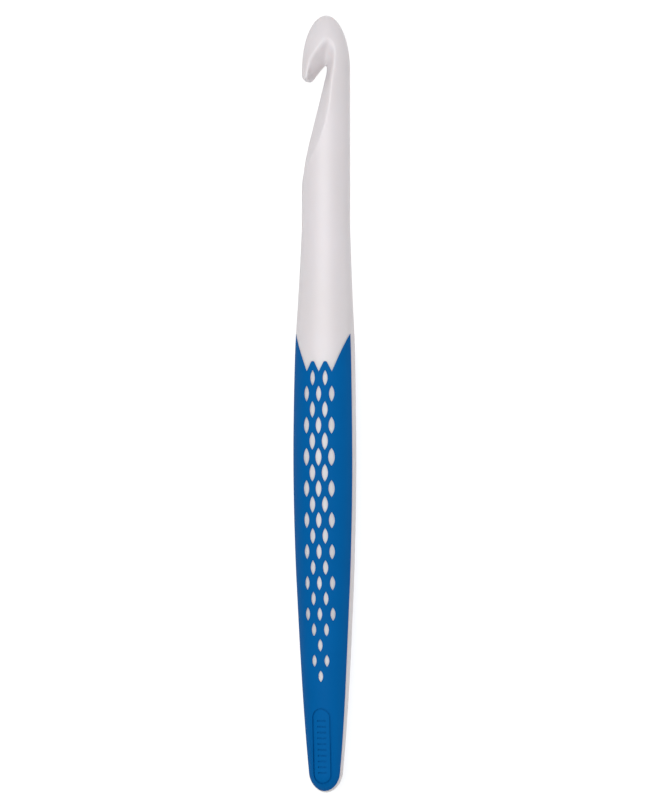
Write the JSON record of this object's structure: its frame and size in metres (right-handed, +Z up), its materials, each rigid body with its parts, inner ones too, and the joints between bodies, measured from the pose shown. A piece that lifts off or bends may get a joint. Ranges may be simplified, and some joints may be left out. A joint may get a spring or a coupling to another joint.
{
  "type": "crochet hook",
  "caption": "Thick crochet hook with a bullet head and flared mouth on a round shank, and a tapered handle with soft grips cut out in a diamond pattern.",
  "frame": {"origin": "middle of the hook's plan, on the surface that it lies on", "axes": "+Y along the hook towards its head, the mouth opens towards -X, +Z up out of the handle's front"},
  "size_m": [0.013, 0.1608, 0.0123],
  "materials": {
    "core_plastic": "satin moulded",
    "soft_grip": "matt moulded"
  },
  "bodies": {
    "root": {"hook_core": "core_plastic", "front_soft_grip": "soft_grip", "back_soft_grip": "soft_grip"}
  },
  "joints": []
}
